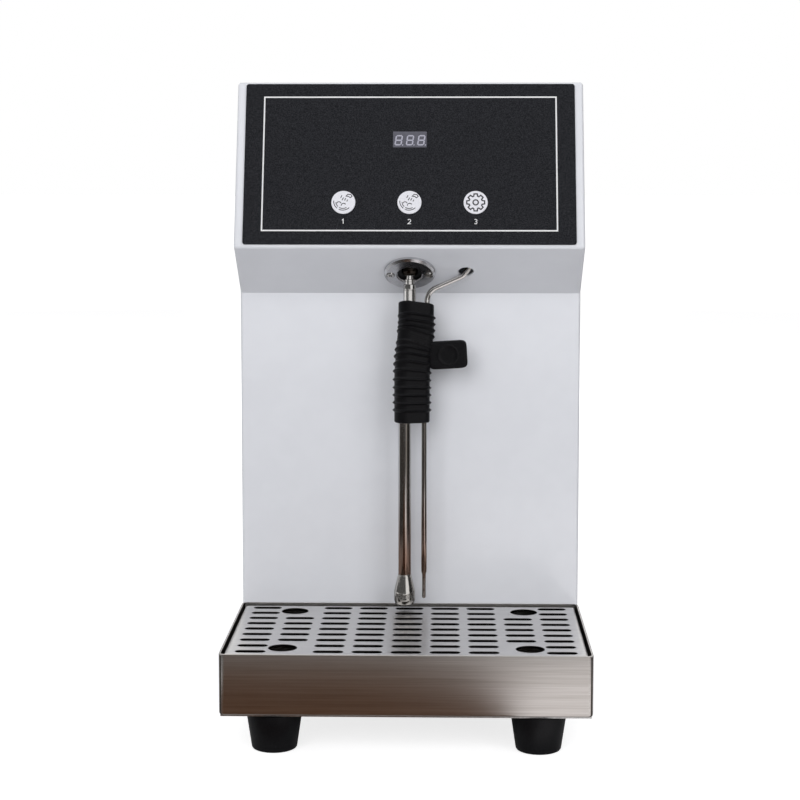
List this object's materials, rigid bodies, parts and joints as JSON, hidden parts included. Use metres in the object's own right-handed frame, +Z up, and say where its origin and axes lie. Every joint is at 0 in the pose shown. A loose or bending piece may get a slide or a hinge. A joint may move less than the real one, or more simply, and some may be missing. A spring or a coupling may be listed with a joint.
{
  "type": "milk steamer",
  "caption": "Counter-top milk steamer with a painted column, leaning key panel, hinged steam wand with ribbed grip and probe, and a slotted drip tray.",
  "frame": {"origin": "middle of the footprint on the table", "axes": "+Z up, -Y towards the user, +X to the user's right"},
  "size_m": [0.24, 0.416, 0.436],
  "materials": {
    "white_paint": "gloss",
    "charcoal_overlay": "fine grain",
    "smoke_lens": "clear",
    "display_grey": "satin",
    "key_white": "satin",
    "board_green": "satin",
    "chrome": "polished",
    "polished_steel": "polished",
    "brushed_steel": "brushed",
    "zinc_steel": "zinc plated",
    "brass": "plain",
    "copper": "plain",
    "black_rubber": "matt",
    "black_plastic": "satin",
    "red_plastic": "gloss",
    "pale_plastic": "plain",
    "foam": "plain"
  },
  "bodies": {
    "cabinet": {"base_plate": "zinc_steel", "rubber_feet": "black_rubber", "foot_screws": "zinc_steel", "cabinet": "white_paint", "top_cover": "white_paint", "rear_panel": "white_paint", "panel_screws": "zinc_steel", "control_overlay": "charcoal_overlay", "display_lens": "smoke_lens", "display_module": "display_grey", "control_board": "board_green", "key_switches": "black_plastic", "board_posts": "brass", "board_screws": "zinc_steel", "wand_flange": "chrome", "flange_screws": "zinc_steel", "wand_socket": "brass", "ball_seat": "black_plastic", "boiler": "brushed_steel", "boiler_jacket": "foam", "boiler_stand": "zinc_steel", "heater": "polished_steel", "level_probe": "pale_plastic", "safety_valve": "brass", "pressure_switch": "black_plastic", "thermal_cutout": "pale_plastic", "steam_pipe": "copper", "steam_valve": "brass", "valve_coil": "black_plastic", "valve_shelf": "zinc_steel", "wand_feed": "copper", "inlet_valve": "brass", "inlet_coil": "black_plastic", "feed_pipe": "copper", "water_inlet": "brass", "drain_pipe": "copper", "drain_cap": "brass", "power_relay": "black_plastic", "terminal_block": "pale_plastic", "cord_gland": "black_plastic", "switch_frame": "black_plastic"},
    "wand": {"wand_ball": "polished_steel", "steam_wand": "polished_steel", "steam_tip": "polished_steel", "wand_grip": "black_rubber", "temperature_probe": "polished_steel"},
    "key_one": {"key_one": "key_white"},
    "key_two": {"key_two": "key_white"},
    "key_three": {"key_three": "key_white"},
    "tray": {"drip_tray": "brushed_steel"},
    "grid": {"drip_grid": "brushed_steel"},
    "rocker": {"power_rocker": "red_plastic"}
  },
  "joints": [
    {"name": "wand_tilt", "type": "hinge", "parent": "cabinet", "child": "wand", "pos_m": [0, -0.0751, 0.30705], "axis": [-1, 0, 0], "range_deg": [0, 40]},
    {"name": "key_one_press", "type": "slide", "parent": "cabinet", "child": "key_one", "axis": [0, 0.9457, -0.325], "range_m": [0, 0.0006], "stiffness_N_per_m": 2500, "springref_m": -0.0002},
    {"name": "key_two_press", "type": "slide", "parent": "cabinet", "child": "key_two", "axis": [0, 0.9457, -0.325], "range_m": [0, 0.0006], "stiffness_N_per_m": 2500, "springref_m": -0.0002},
    {"name": "key_three_press", "type": "slide", "parent": "cabinet", "child": "key_three", "axis": [0, 0.9457, -0.325], "range_m": [0, 0.0006], "stiffness_N_per_m": 2500, "springref_m": -0.0002},
    {"name": "tray_slide", "type": "slide", "parent": "cabinet", "child": "tray", "axis": [0, -1, 0], "range_m": [0, 0.15]},
    {"name": "grid_tilt", "type": "hinge", "parent": "tray", "child": "grid", "pos_m": [0, -0.066, 0.05245], "axis": [-1, 0, 0], "range_deg": [0, 5]},
    {"name": "rocker_tilt", "type": "hinge", "parent": "cabinet", "child": "rocker", "pos_m": [0.076, 0.182, 0.16], "axis": [1, 0, 0], "range_deg": [0, 16]}
  ]
}
